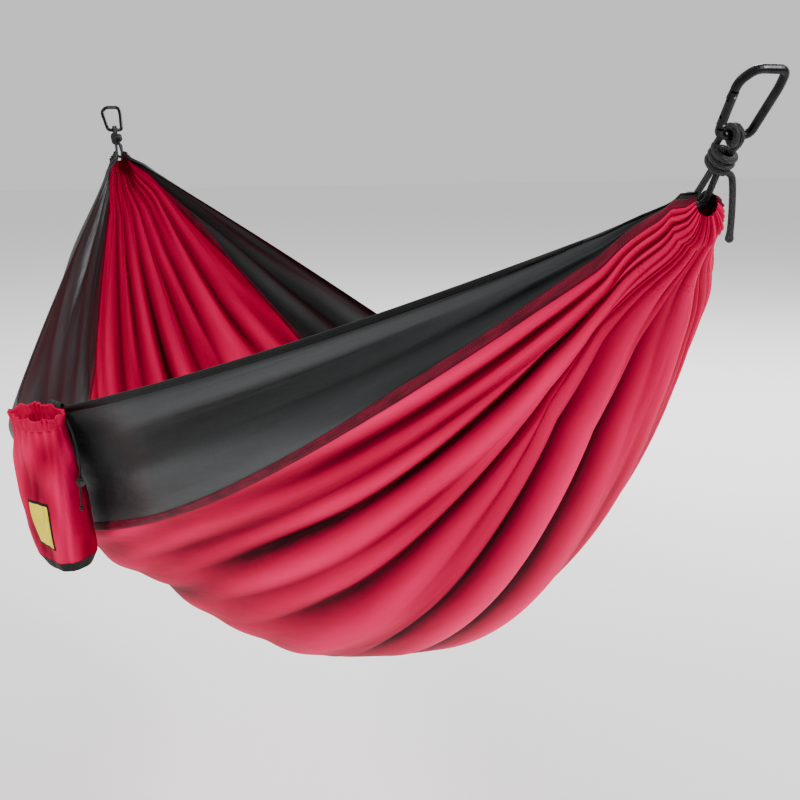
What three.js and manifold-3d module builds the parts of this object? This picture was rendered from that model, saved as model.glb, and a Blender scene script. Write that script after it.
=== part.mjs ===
// Gathered-end camping hammock, hung up empty between two anchors.
// Millimetres, +Z up, +X out through the near end, -Y to the front.
// The origin is where the near anchor strap bears inside the near carabiner.
import * as THREE from "three";
import { mergeVertices } from "three/addons/utils/BufferGeometryUtils.js";
import Module from "manifold-3d";

// ---- hanging line -------------------------------------------------------
const CHORD = 2350; // gather to gather
const LINE = 142; // strap bearing point to gather, along the line
const LINE_SLOPE = THREE.MathUtils.degToRad(50);
const DROP = LINE * Math.sin(LINE_SLOPE);
const REACH = LINE * Math.cos(LINE_SLOPE);
const HANG_GAP = CHORD + 2 * REACH; // bearing point to bearing point
const MID_X = -HANG_GAP / 2;
const GAP = 0.3; // clearance between touching pieces

// ---- bed envelope -------------------------------------------------------
const NECK = 9; // half size of the gathered fabric at the rope
const FRONT_RIM = { out: 404, down: 352, outCurve: 0.12, downCurve: 0.22 };
const BACK_RIM = { out: 365, down: 375, outCurve: 0, downCurve: -0.1 };
const RIM_SOFTNESS = 0.06; // rounds the rim's corner at the middle
const BELLY_DEPTH = 668;
const BELLY_POWER = 2.9;
const BELLY_BULGE = 215; // how far the belly swells past the rims near the ends
const FRONT_BULGE_SHARE = 0.2;
const ROUNDNESS = 1.35; // 1 is an ellipse, more is a sharper valley
const BED_END = 0.981; // share of the half chord where the panels meet the channel
const BED_ROWS = 30;
const SIDE_SHARE = 0.12; // side panel's share of the wrap near the ends
const SIDE_SHARE_MORE = 0.055; // and what it gains at the middle
const FAR_FRONT_MORE = 0.15; // what the front panel's share gains towards the far end
const CLOTH = 1.4;
const SEAM_WIDTH = 12;
const HEM_WIDTH = 11;
const BAND_THICK = 2.6;

// ---- rope ---------------------------------------------------------------
const ROPE = 6;
const ROPE_SIDES = 8;
const STRAND = 3.4; // half the spacing of the two strands in the knot
const CHANNEL_LOOP = 6.5; // radius of the rope's turn inside the channel
const COIL_R = 9.9;
const COIL_TOP = 80;
const COIL_PITCH = 6.7;
const COIL_TURNS = 2.5;

// ---- carabiner ----------------------------------------------------------
const STOCK = 8;
const STOCK_SIDES = 12;
const BAR = 64; // strap bearing point to the lower bar's centre
const TOP_BAR = (-STOCK / 2) * Math.cos(Math.PI / STOCK_SIDES); // its flat bears the strap
const TONGUE = 3;
const PIN = 2.4;
const GATE_PIVOT = [50.6, -17.4]; // along the line, across it
const GATE_TIP = [18.3, -20.6];
const LATCH = [22.4, -20.2];

// ---- stuff pouch --------------------------------------------------------
const POUCH_X = MID_X + 150;
const POUCH_LEAN = THREE.MathUtils.degToRad(11);
const POUCH_YAW = THREE.MathUtils.degToRad(16.5); // it follows the rim
const POUCH_LENGTH = 238;
const POUCH_HEM = 15;
const POUCH_CLOTH = 1.6;
const POUCH_PROFILE = [
  // distance below the mouth, half width along X, half thickness
  [0, 58, 27],
  [15, 55, 27],
  [60, 60, 32],
  [120, 64, 38],
  [175, 62, 38],
  [215, 54, 34],
  [232, 42, 26],
];
const RING = 24;
const LABEL = { from: 126, to: 190, half: 0.33, turn: 0.24 }; // half and turn are in radians
const LABEL_EDGE = 3.5; // the backing shows this much around the label
const PATCH_THICK = 0.6;
const TAPE = { half: 18, inner: -28.4, outer: -29.8, from: 2, to: 15 };
const CORD = 3;
const LOCK_BELOW = 88;
const LOCK_ASIDE = 20;
const LOCK_BEHIND = 12;
const KNOT_BELOW = 34;

const wasm = await Module();
wasm.setup();

// ---- general builders ---------------------------------------------------
const v3 = (x, y, z) => new THREE.Vector3(x, y, z);
const lerp = THREE.MathUtils.lerp;

function solidFrom(positions, index) {
  const g = new THREE.BufferGeometry();
  g.setAttribute("position", new THREE.Float32BufferAttribute(positions, 3));
  g.setIndex(index);
  return outward(g);
}

function outward(geometry) {
  const p = geometry.attributes.position;
  const idx = geometry.index.array;
  const a = v3();
  const b = v3();
  const c = v3();
  let volume = 0;
  for (let i = 0; i < idx.length; i += 3) {
    a.fromBufferAttribute(p, idx[i]);
    b.fromBufferAttribute(p, idx[i + 1]);
    c.fromBufferAttribute(p, idx[i + 2]);
    volume += a.dot(b.cross(c));
  }
  if (volume < 0) {
    for (let i = 0; i < idx.length; i += 3) {
      [idx[i + 1], idx[i + 2]] = [idx[i + 2], idx[i + 1]];
    }
  }
  geometry.computeVertexNormals();
  return geometry;
}

// A solid through closed rings of points, fanned shut at both ends.
function loft(rings) {
  const n = rings[0].length;
  const positions = rings.flat().flatMap((p) => [p.x, p.y, p.z]);
  const index = [];
  for (let r = 0; r + 1 < rings.length; r++) {
    for (let k = 0; k < n; k++) {
      const a = r * n + k;
      const b = r * n + ((k + 1) % n);
      index.push(a, b, b + n, a, b + n, a + n);
    }
  }
  for (const end of [0, rings.length - 1]) {
    const centre = rings[end].reduce((s, p) => s.add(p), v3(0, 0, 0)).multiplyScalar(1 / n);
    const hub = positions.length / 3;
    positions.push(centre.x, centre.y, centre.z);
    for (let k = 0; k < n; k++) {
      const a = end * n + k;
      const b = end * n + ((k + 1) % n);
      if (end === 0) index.push(hub, b, a);
      else index.push(hub, a, b);
    }
  }
  return solidFrom(positions, index);
}

// A solid between two matching point grids; a wrapped grid closes on itself sideways.
function slab(outer, inner, wrapped = false) {
  const rows = outer.length;
  const cols = outer[0].length;
  const positions = [...outer.flat(), ...inner.flat()].flatMap((p) => [p.x, p.y, p.z]);
  const below = rows * cols;
  const index = [];
  const quad = (a, b, c, d) => index.push(a, b, c, a, c, d);
  const spans = wrapped ? cols : cols - 1;
  for (let r = 0; r + 1 < rows; r++) {
    for (let k = 0; k < spans; k++) {
      const a = r * cols + k;
      const b = r * cols + ((k + 1) % cols);
      quad(a, b, b + cols, a + cols);
      quad(below + a, below + a + cols, below + b + cols, below + b);
    }
    if (!wrapped) {
      const first = r * cols;
      const last = first + cols - 1;
      quad(first, first + cols, below + first + cols, below + first);
      quad(last, below + last, below + last + cols, last + cols);
    }
  }
  for (let k = 0; k < spans; k++) {
    const next = (k + 1) % cols;
    quad(k, below + k, below + next, next);
    const end = (rows - 1) * cols;
    quad(end + k, end + next, below + end + next, below + end + k);
  }
  return solidFrom(positions, index);
}

function circle(radius, sides) {
  const shape = new THREE.Shape();
  for (let k = 0; k < sides; k++) {
    const angle = ((k + 0.5) / sides) * 2 * Math.PI;
    const x = radius * Math.cos(angle);
    const y = radius * Math.sin(angle);
    if (k === 0) shape.moveTo(x, y);
    else shape.lineTo(x, y);
  }
  shape.closePath();
  return shape;
}

function tube(curve, diameter, sides, steps) {
  const g = new THREE.ExtrudeGeometry(circle(diameter / 2, sides), {
    steps,
    bevelEnabled: false,
    extrudePath: curve,
  });
  return welded(g);
}

function welded(g) {
  g.deleteAttribute("normal");
  g.deleteAttribute("uv");
  return outward(mergeVertices(g, 1e-3));
}

function rod(from, to, diameter, sides) {
  return tube(new THREE.LineCurve3(from, to), diameter, sides, 1);
}

function toManifold(g) {
  return new wasm.Manifold(
    new wasm.Mesh({
      numProp: 3,
      vertProperties: new Float32Array(g.attributes.position.array),
      triVerts: new Uint32Array(g.index.array),
    }),
  );
}

function fromManifold(m) {
  const mesh = m.getMesh();
  return solidFrom(Array.from(mesh.vertProperties), Array.from(mesh.triVerts));
}

function cut(base, ...tools) {
  let result = toManifold(base);
  for (const tool of tools) result = result.subtract(toManifold(tool));
  return fromManifold(result);
}

// Straight runs joined by smooth corners; the last number of a corner is its rounding.
function roundedPath(corners, toWorld) {
  const path = new THREE.CurvePath();
  const at = corners.map(([a, b]) => v3(a, b, 0));
  let from = at[0];
  for (let k = 1; k + 1 < at.length; k++) {
    const round = corners[k][2];
    const enter = at[k].clone().add(at[k - 1].clone().sub(at[k]).setLength(round));
    const leave = at[k].clone().add(at[k + 1].clone().sub(at[k]).setLength(round));
    path.add(new THREE.LineCurve3(toWorld(from), toWorld(enter)));
    path.add(new THREE.QuadraticBezierCurve3(toWorld(enter), toWorld(at[k]), toWorld(leave)));
    from = leave;
  }
  path.add(new THREE.LineCurve3(toWorld(from), toWorld(at[at.length - 1])));
  return path;
}

const root = new THREE.Group();
root.name = "camping_hammock";

const LOOKS = {
  red_nylon: [0xc40f32, 0, 0.55],
  charcoal_nylon: [0x38383a, 0, 0.6],
  maroon_tape: [0x6e1a2c, 0, 0.7],
  black_rope: [0x0c0c0d, 0, 0.8],
  black_aluminium: [0x101012, 0.9, 0.35],
  steel_pin: [0x9a9ca0, 0.9, 0.4],
  label_yellow: [0xdccb4a, 0, 0.7],
  black_plastic: [0x141416, 0, 0.6],
};

function add(name, look, geometry) {
  const [color, metalness, roughness] = LOOKS[look];
  const material = new THREE.MeshStandardMaterial({ color, metalness, roughness });
  material.name = look;
  const mesh = new THREE.Mesh(geometry, material);
  mesh.name = name;
  root.add(mesh);
}

// ---- bed ----------------------------------------------------------------
// One wrap of the cloth at a station, from the front rim under to the back rim.
function wrapAt(station) {
  const reach = Math.min(1, Math.hypot(station, RIM_SOFTNESS));
  const spread = (1 - reach) / (1 - RIM_SOFTNESS);
  const rim = (side) => [
    NECK + side.out * spread * (1 + side.outCurve * reach),
    NECK / 2 - side.down * spread * (1 + side.downCurve * reach),
  ];
  const [frontY, frontZ] = rim(FRONT_RIM);
  const [backY, backZ] = rim(BACK_RIM);
  const bottomZ = -NECK - BELLY_DEPTH * (1 - Math.abs(station) ** BELLY_POWER);
  const swell = BELLY_BULGE * reach ** 2 * (1 - reach) ** 0.35;
  const power = ROUNDNESS - 0.5 * station ** 2;
  const samples = 64;
  const points = [];
  for (let k = 0; k <= samples; k++) {
    const turn = (k / samples) * Math.PI;
    const across = (1 - Math.cos(turn)) / 2;
    const side = -Math.cos(turn) * Math.sin(turn) ** 0.8;
    const share = side < 0 ? FRONT_BULGE_SHARE : 1;
    const y = lerp(-frontY, backY, across) + swell * side * share;
    const rimZ = lerp(frontZ, backZ, across);
    const sag = bottomZ - (frontZ + backZ) / 2;
    const z = rimZ + sag * Math.sin(turn) ** power - DROP;
    points.push(v3(MID_X + (station * CHORD) / 2, y, z));
  }
  return points;
}

// The wrap at a station, measured along the cloth.
function tape(station) {
  const points = wrapAt(station);
  const length = [0];
  for (let k = 1; k < points.length; k++) {
    length.push(length[k - 1] + points[k].distanceTo(points[k - 1]));
  }
  const total = length[length.length - 1];
  const at = (run) => {
    const want = Math.min(Math.max(run, 0), total);
    let k = 1;
    while (k < length.length - 1 && length[k] < want) k++;
    const share = (want - length[k - 1]) / (length[k] - length[k - 1]);
    return points[k - 1].clone().lerp(points[k], share);
  };
  const inward = (run) => {
    const step = total / 60;
    const along = at(run + step).sub(at(run - step)).normalize();
    return v3(0, -along.z, along.y);
  };
  return { total, at, inward };
}

function smoothstep(low, high, value) {
  const x = Math.min(1, Math.max(0, (value - low) / (high - low)));
  return x * x * (3 - 2 * x);
}

// Where each band of cloth begins and ends along the wrap.
function bandEdges(total, station) {
  const seam = Math.min(SEAM_WIDTH, total * 0.05);
  const hem = Math.min(HEM_WIDTH, total * 0.05);
  const side = (SIDE_SHARE + SIDE_SHARE_MORE * (1 - station ** 2) ** 2) * total;
  const front = side + FAR_FRONT_MORE * smoothstep(0.1, 0.75, -station) * total;
  const back = total - side;
  return {
    front_hem: [0, hem],
    front_panel: [hem + GAP, front - seam / 2 - GAP],
    front_seam: [front - seam / 2, front + seam / 2],
    centre_panel: [front + seam / 2 + GAP, back - seam / 2 - GAP],
    back_seam: [back - seam / 2, back + seam / 2],
    back_panel: [back + seam / 2 + GAP, total - hem - GAP],
    back_hem: [total - hem, total],
  };
}

function band(name, look, thick, columns) {
  const outer = [];
  const inner = [];
  for (let r = 0; r <= BED_ROWS; r++) {
    const station = BED_END * Math.sin(((r / BED_ROWS) * 2 - 1) * (Math.PI / 2));
    const cloth = tape(station);
    const [from, to] = bandEdges(cloth.total, station)[name];
    const raise = (thick - CLOTH) / 2;
    const outerRow = [];
    const innerRow = [];
    for (let c = 0; c <= columns; c++) {
      const run = lerp(from, to, c / columns);
      const point = cloth.at(run);
      const inward = cloth.inward(run);
      outerRow.push(point.clone().addScaledVector(inward, -raise));
      innerRow.push(point.clone().addScaledVector(inward, CLOTH + raise));
    }
    outer.push(outerRow);
    inner.push(innerRow);
  }
  add(name, look, slab(outer, inner));
}

band("centre_panel", "red_nylon", CLOTH, 14);
band("front_panel", "charcoal_nylon", CLOTH, 4);
band("back_panel", "charcoal_nylon", CLOTH, 4);
band("front_seam", "maroon_tape", BAND_THICK, 1);
band("back_seam", "maroon_tape", BAND_THICK, 1);
band("front_hem", "charcoal_nylon", BAND_THICK, 1);
band("back_hem", "charcoal_nylon", BAND_THICK, 1);

// ---- hanging ends -------------------------------------------------------
// Frame of one hanging line: along it from the strap, across it in Y, and out of its plane.
function endFrame(end) {
  const flip = end === "near" ? 1 : -1;
  const start = end === "near" ? 0 : -HANG_GAP;
  const cos = Math.cos(LINE_SLOPE);
  const sin = Math.sin(LINE_SLOPE);
  return (along, across, out = 0) =>
    v3(start + flip * (-along * cos - out * sin), across, -along * sin + out * cos);
}

// The rope's turn through the end channel, strand to strand.
function channelTurn(place) {
  const bend = LINE - CHANNEL_LOOP;
  const points = [place(104, -STRAND - 0.4), place(118, -5)];
  for (let k = 0; k <= 6; k++) {
    const turn = (k / 6) * Math.PI;
    points.push(place(bend + CHANNEL_LOOP * Math.sin(turn), -CHANNEL_LOOP * Math.cos(turn)));
  }
  points.push(place(118, 5), place(104, STRAND + 0.4));
  return points;
}

function ropePath(place) {
  const points = [];
  const push = (along, across, out) => points.push(place(along, across, out));
  push(77, -STRAND, 0);
  push(90, -STRAND, 0);
  points.push(...channelTurn(place));
  push(92, STRAND, 0);
  push(83, STRAND, -0.6);
  push(76, STRAND, -4);
  const turnR = (STOCK + ROPE) / 2 + 0.5;
  const wraps = 16;
  for (let k = 0; k <= wraps; k++) {
    const turn = THREE.MathUtils.degToRad(lerp(-75, -608, k / wraps));
    const across = lerp(STRAND, -STRAND, k / wraps);
    push(BAR + turnR * Math.cos(turn), across, turnR * Math.sin(turn));
  }
  const coilSteps = 30;
  const coilStart = THREE.MathUtils.degToRad(118);
  for (let k = 0; k <= coilSteps; k++) {
    const turn = coilStart + (k / coilSteps) * COIL_TURNS * 2 * Math.PI;
    const along = COIL_TOP + COIL_TURNS * COIL_PITCH * (k / coilSteps);
    push(along, COIL_R * Math.cos(turn), COIL_R * Math.sin(turn));
  }
  return points;
}

// The tail leaves the coil on its underside and hangs straight down.
function tailPoints(place) {
  const end = COIL_TOP + COIL_TURNS * COIL_PITCH;
  const leave = place(end + 2.5, 9.5, -COIL_R - 1);
  return [
    leave,
    leave.clone().add(v3(0, 1.5, -7)),
    leave.clone().add(v3(0, 2, -22)),
    leave.clone().add(v3(0, 1.5, -40)),
    leave.clone().add(v3(0, 0, -56)),
  ];
}

function suspensionRope(end, place) {
  const points = [...ropePath(place), ...tailPoints(place)];
  const curve = new THREE.CatmullRomCurve3(points, false, "centripetal");
  add(`${end}_suspension_rope`, "black_rope", tube(curve, ROPE, ROPE_SIDES, 100));
}

// The bunched end channel that the rope runs through.
function endChannel(end, place) {
  const flip = end === "near" ? 1 : -1;
  const gather = place(LINE, 0);
  const stop = ((1 - BED_END) * CHORD) / 2 - 0.6;
  const shape = [
    // outward of the gather, centre height, half width, half height
    [19, 3, 13, 12],
    [15, 2, 20, 19],
    [4, -1, 22, 20],
    [-9, -8, 21, 20],
    [-stop, -21, 25, 27],
  ];
  const sides = 20;
  const rings = shape.map(([outward, height, halfWidth, halfHeight]) =>
    Array.from({ length: sides }, (_, k) => {
      const turn = (k / sides) * 2 * Math.PI;
      return v3(
        gather.x + flip * outward,
        halfWidth * Math.cos(turn),
        gather.z + height + halfHeight * Math.sin(turn),
      );
    }),
  );
  const curve = new THREE.CatmullRomCurve3(channelTurn(place), false, "centripetal");
  const bore = tube(curve, ROPE + 2.4, 12, 24);
  add(`${end}_end_channel`, "red_nylon", cut(loft(rings), bore));
}

function block(place, [a0, a1], [b0, b1], [c0, c1]) {
  const ring = (c) => [place(a0, b0, c), place(a1, b0, c), place(a1, b1, c), place(a0, b1, c)];
  return loft([ring(c0), ring(c1)]);
}

const PIN_SIDES = 16;
const across = (place, [a, b], halfLength, diameter) =>
  rod(place(a, b, -halfLength), place(a, b, halfLength), diameter, PIN_SIDES);

function carabinerFrame(end, place) {
  const corners = [
    [26.3, -20.9],
    [9, -21.2, 6],
    [TOP_BAR, -11, 8],
    [TOP_BAR, 18.5, 8],
    [13, 20, 6],
    [BAR, 15.5, 7.5],
    [BAR, -15.5, 7.5],
    [45.8, -17.8],
  ];
  const path = roundedPath(corners, (p) => place(p.x, p.y));
  const stock = tube(path, STOCK, STOCK_SIDES, 64);
  const half = TONGUE / 2;
  const far = STOCK;
  const side = [-30, -12];
  const cheeks = [
    block(place, [40, 56.8], side, [half, far]),
    block(place, [40, 56.8], side, [-far, -half]),
    block(place, [16.6, 30], side, [half - 0.2, far]),
    block(place, [16.6, 30], side, [-far, 0.2 - half]),
  ];
  const pinHole = across(place, GATE_PIVOT, STOCK, PIN + 2 * GAP);
  const notch = block(place, [LATCH[0] - 2.2, LATCH[0] + 1.9], [LATCH[1] - 1.6, -12], [-3, 3]);
  add(`${end}_carabiner_frame`, "black_aluminium", cut(stock, ...cheeks, pinHole, notch));
  add(`${end}_gate_hinge_pin`, "steel_pin", across(place, GATE_PIVOT, STOCK / 2 + 0.2, PIN));
}

function carabinerGate(end, place) {
  const [a0, b0] = GATE_PIVOT;
  const [a1, b1] = GATE_TIP;
  const beyond = 3.4 / Math.hypot(a0 - a1, b0 - b1);
  const foot = place(a0 + (a0 - a1) * beyond, b0 + (b0 - b1) * beyond);
  const body = rod(foot, place(a1, b1), STOCK, STOCK_SIDES);
  const slot = TONGUE / 2 + GAP;
  const gate = cut(
    body,
    block(place, [43.6, 60], [-30, -8], [-slot, slot]),
    block(place, [10, 28.4], [-30, -8], [-slot, slot]),
    across(place, GATE_PIVOT, STOCK, PIN + 2 * GAP),
    across(place, LATCH, STOCK, PIN + 2 * GAP),
  );
  add(`${end}_gate`, "black_aluminium", gate);
  add(`${end}_gate_latch_pin`, "steel_pin", across(place, LATCH, STOCK / 2 - 0.1, PIN));
}

for (const end of ["near", "far"]) {
  const place = endFrame(end);
  suspensionRope(end, place);
  endChannel(end, place);
  carabinerFrame(end, place);
  carabinerGate(end, place);
}

// ---- stuff pouch on the front rim ---------------------------------------
const pouchStation = (POUCH_X - MID_X) / (CHORD / 2);
const rimPoint = wrapAt(pouchStation)[0];
const POUCH_BACK = 6; // from the rim to the pouch's back at the mouth

// A point of the pouch: along X, outward from its middle plane, and down from the mouth.
function pouchPlace(x, out, down) {
  const middle = POUCH_BACK + POUCH_PROFILE[0][2];
  const y = -(out + middle) * Math.cos(POUCH_LEAN) + down * Math.sin(POUCH_LEAN);
  const z = -down * Math.cos(POUCH_LEAN) - (out + middle) * Math.sin(POUCH_LEAN);
  const cos = Math.cos(POUCH_YAW);
  const sin = Math.sin(POUCH_YAW);
  return v3(rimPoint.x + x * cos - y * sin, rimPoint.y + x * sin + y * cos, rimPoint.z + z + 4);
}

function pouchSize(down) {
  let k = 1;
  while (k < POUCH_PROFILE.length - 1 && POUCH_PROFILE[k][0] < down) k++;
  const [d0, w0, h0] = POUCH_PROFILE[k - 1];
  const [d1, w1, h1] = POUCH_PROFILE[k];
  const share = (down - d0) / (d1 - d0);
  return [lerp(w0, w1, share), lerp(h0, h1, share)];
}

function pouchPoint(turn, down, grow = 0) {
  const [width, thick] = pouchSize(down);
  const bend = (v) => Math.sign(v) * Math.abs(v) ** 0.8;
  return pouchPlace(
    (width + grow) * bend(Math.sin(turn)),
    (thick + grow) * bend(Math.cos(turn)),
    down,
  );
}

const pouchRing = (down, grow = 0) =>
  Array.from({ length: RING }, (_, k) => pouchPoint((k / RING) * 2 * Math.PI, down, grow));

function pouch() {
  const stops = POUCH_PROFILE.slice(2, -1).map(([down]) => down);
  const downs = [POUCH_HEM + GAP, ...stops];
  add(
    "pouch_shell",
    "red_nylon",
    slab(
      downs.map((d) => pouchRing(d)),
      downs.map((d) => pouchRing(d, -POUCH_CLOTH)),
      true,
    ),
  );
  const hem = [0, POUCH_HEM];
  add(
    "pouch_elastic_hem",
    "red_nylon",
    slab(
      hem.map((d) => pouchRing(d, 1)),
      hem.map((d) => pouchRing(d, -POUCH_CLOTH)),
      true,
    ),
  );
  const rim = stops[stops.length - 1] + GAP;
  const [lowest] = POUCH_PROFILE[POUCH_PROFILE.length - 1];
  const floor = [pouchRing(rim), pouchRing(lowest), pouchRing(POUCH_LENGTH, -22)];
  add("pouch_base", "black_plastic", loft(floor));
}

// A patch of the pouch's outer face, lifted off it by a small amount.
function pouchPatch(name, look, margin, lift, thick) {
  const rows = 4;
  const columns = 6;
  const grid = (grow) =>
    Array.from({ length: rows + 1 }, (_, r) =>
      Array.from({ length: columns + 1 }, (_, c) => {
        const down = lerp(LABEL.from - margin, LABEL.to + margin, r / rows);
        const half = LABEL.half + margin / pouchSize(LABEL.from)[0];
        return pouchPoint(LABEL.turn + lerp(-half, half, c / columns), down, grow);
      }),
    );
  add(name, look, slab(grid(lift + thick), grid(lift)));
}

function pouchTape() {
  const ring = (down) => [
    pouchPlace(-TAPE.half, TAPE.inner, down),
    pouchPlace(TAPE.half, TAPE.inner, down),
    pouchPlace(TAPE.half, TAPE.outer, down),
    pouchPlace(-TAPE.half, TAPE.outer, down),
  ];
  add("pouch_hanging_tape", "charcoal_nylon", loft([ring(TAPE.from), ring(TAPE.to)]));
}

// ---- pouch drawcord and its lock ----------------------------------------
const cordExit = pouchPlace(53, -20, 8);
const lockCentre = cordExit.clone().add(v3(LOCK_ASIDE, LOCK_BEHIND, -LOCK_BELOW));

function drawcord() {
  const above = lockCentre.clone().add(v3(0, 0, 30));
  const points = [
    cordExit,
    cordExit.clone().add(v3(6, 1, -6)),
    cordExit.clone().add(v3(14, 6, -22)),
    above,
    lockCentre,
    lockCentre.clone().add(v3(0, 0, -18)),
    lockCentre.clone().add(v3(1.5, 0.5, -KNOT_BELOW)),
  ];
  const curve = new THREE.CatmullRomCurve3(points, false, "centripetal");
  add("pouch_drawcord", "black_rope", tube(curve, CORD, 8, 22));
  const bead = [0, 2, 5, 7].map((down, k) => {
    const radius = [2.2, 3.4, 3.4, 2][k];
    return new THREE.Vector2(radius, -down);
  });
  const profile = [new THREE.Vector2(0, 0), ...bead, new THREE.Vector2(0, -7)];
  const knot = welded(new THREE.LatheGeometry(profile, 10).rotateX(Math.PI / 2));
  const at = points[points.length - 1];
  knot.translate(at.x, at.y, at.z - 0.5);
  add("drawcord_end_knot", "black_rope", knot);
}

const LOCK = { radius: 6, length: 15, bore: 4, plunger: 3.6, travel: 2 };

// The lock's barrel lies along X with its button at the outer end.
function cordLock() {
  const at = (x) => lockCentre.clone().add(v3(x, 0, 0));
  const vertical = (x, diameter) =>
    rod(at(x).add(v3(0, 0, -12)), at(x).add(v3(0, 0, 12)), diameter, 12);
  const hole = CORD + 2 * GAP + 0.2;
  const barrel = cut(
    rod(at(-LOCK.length / 2), at(LOCK.length / 2), 2 * LOCK.radius, 16),
    rod(at(-LOCK.length / 2 + 2), at(LOCK.length), 2 * LOCK.bore, 16),
    vertical(0, hole + 0.4),
  );
  add("cord_lock_barrel", "black_plastic", barrel);
  const tip = LOCK.length / 2 + 4;
  const plunger = cut(
    rod(at(-3.2), at(tip), 2 * LOCK.plunger, 16),
    vertical(0, hole),
    vertical(LOCK.travel / 2, hole),
    vertical(LOCK.travel, hole),
  );
  add("cord_lock_button", "black_plastic", plunger);
}

pouch();
pouchPatch("pouch_label_backing", "black_plastic", LABEL_EDGE, 0.9, PATCH_THICK);
pouchPatch("pouch_label", "label_yellow", 0, 1.9, PATCH_THICK);
pouchTape();
drawcord();
cordLock();

export default root;
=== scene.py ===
"""Looks of a gathered-end camping hammock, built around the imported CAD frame. Metres, +Z up."""

import math
import random

import bpy
import numpy as np
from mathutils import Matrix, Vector


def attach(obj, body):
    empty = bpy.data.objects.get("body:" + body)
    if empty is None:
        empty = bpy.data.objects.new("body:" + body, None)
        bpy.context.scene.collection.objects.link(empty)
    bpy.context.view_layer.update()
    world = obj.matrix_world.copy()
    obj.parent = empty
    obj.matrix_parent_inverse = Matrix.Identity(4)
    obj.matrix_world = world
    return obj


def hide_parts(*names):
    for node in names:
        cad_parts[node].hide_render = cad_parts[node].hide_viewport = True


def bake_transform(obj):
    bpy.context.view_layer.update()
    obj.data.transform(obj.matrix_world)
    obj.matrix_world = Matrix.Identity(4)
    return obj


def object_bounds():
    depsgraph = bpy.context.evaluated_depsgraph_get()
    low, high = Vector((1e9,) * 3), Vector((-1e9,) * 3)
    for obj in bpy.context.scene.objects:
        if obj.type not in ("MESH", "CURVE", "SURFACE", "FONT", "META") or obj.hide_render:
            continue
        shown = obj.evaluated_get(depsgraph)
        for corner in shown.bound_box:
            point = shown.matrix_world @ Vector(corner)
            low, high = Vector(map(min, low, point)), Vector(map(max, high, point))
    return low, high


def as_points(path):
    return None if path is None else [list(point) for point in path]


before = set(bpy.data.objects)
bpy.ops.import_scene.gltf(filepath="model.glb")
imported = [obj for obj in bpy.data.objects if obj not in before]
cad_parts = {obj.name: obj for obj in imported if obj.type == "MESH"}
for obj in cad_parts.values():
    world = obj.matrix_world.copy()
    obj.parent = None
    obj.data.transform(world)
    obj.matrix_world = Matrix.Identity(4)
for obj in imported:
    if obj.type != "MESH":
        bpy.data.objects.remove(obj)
CAD_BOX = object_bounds()

# ---- driving dimensions, the same as the CAD's ----
CHORD = 2.350
LINE = 0.142
SLOPE = math.radians(50)
DROP = LINE * math.sin(SLOPE)
REACH = LINE * math.cos(SLOPE)
HANG_GAP = CHORD + 2 * REACH
MID_X = -HANG_GAP / 2
HALF = CHORD / 2
NECK = 0.009
FRONT_RIM = (0.404, 0.352, 0.12, 0.22)  # out, down, curve of each
BACK_RIM = (0.365, 0.375, 0.0, -0.1)
RIM_SOFTNESS = 0.06
BELLY_DEPTH = 0.668
BELLY_POWER = 2.9
BELLY_BULGE = 0.215
FRONT_BULGE_SHARE = 0.2
ROUNDNESS = 1.35
SIDE_SHARE = 0.12
SIDE_SHARE_MORE = 0.055
FAR_FRONT_MORE = 0.15  # the front panel covers more of the wrap in the far half
SEAM_WIDTH = 0.012
HEM_WIDTH = 0.011
RUFFLE = 0.011  # how far the bunched end stands past the rope
FLAT_LENGTH = 2.70  # every panel before it is gathered
CENTRE_CLOTH = 0.72
FRONT_CLOTH = 0.20
BACK_CLOTH = 0.16
ROPE = 0.006
SEED = 7

# ---- camera ----
CAMERA_AHEAD = 2.282  # from the middle of the bed towards the near end
CAMERA_ASIDE = -0.733
CAMERA_RISE = 0.066  # over the gathers
CAMERA_YAW = math.radians(22.4)
CAMERA_PITCH = math.radians(10.3)
FOCAL = 1500 / 800  # in image widths


def make_camera():
    data = bpy.data.cameras.new("photo_camera")
    data.sensor_width = 36
    data.lens = FOCAL * data.sensor_width
    data.clip_start = 0.05
    data.clip_end = 60
    camera = bpy.data.objects.new("photo_camera", data)
    camera.location = (MID_X + CAMERA_AHEAD, CAMERA_ASIDE, CAMERA_RISE - DROP)
    level = math.cos(CAMERA_PITCH)
    look = Vector(
        (-math.cos(CAMERA_YAW) * level, math.sin(CAMERA_YAW) * level, -math.sin(CAMERA_PITCH))
    )
    camera.rotation_mode = "QUATERNION"
    camera.rotation_quaternion = look.to_track_quat("-Z", "Y")
    bpy.context.collection.objects.link(camera)
    bpy.context.scene.camera = camera


make_camera()


# ---- mesh helpers ----
def mesh_object(name, verts, faces, uvs=None, smooth=True):
    """verts is an (n, 3) array, faces a list of index tuples, uvs an (n, 2) array per vertex."""
    mesh = bpy.data.meshes.new(name)
    mesh.from_pydata(np.asarray(verts).tolist(), [], faces)
    if uvs is not None:
        layer = mesh.uv_layers.new(name="cloth")
        index = np.zeros(len(mesh.loops), np.int64)
        mesh.loops.foreach_get("vertex_index", index)
        layer.data.foreach_set("uv", np.asarray(uvs)[index].astype(np.float32).ravel())
    if smooth:
        mesh.polygons.foreach_set("use_smooth", [True] * len(mesh.polygons))
    mesh.update()
    obj = bpy.data.objects.new(name, mesh)
    bpy.context.collection.objects.link(obj)
    return obj


def grid_faces(rows, cols, wrapped=False):
    spans = cols if wrapped else cols - 1
    faces = []
    for r in range(rows - 1):
        for c in range(spans):
            a = r * cols + c
            b = r * cols + (c + 1) % cols
            faces.append((a, b, b + cols, a + cols))
    return faces


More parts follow.
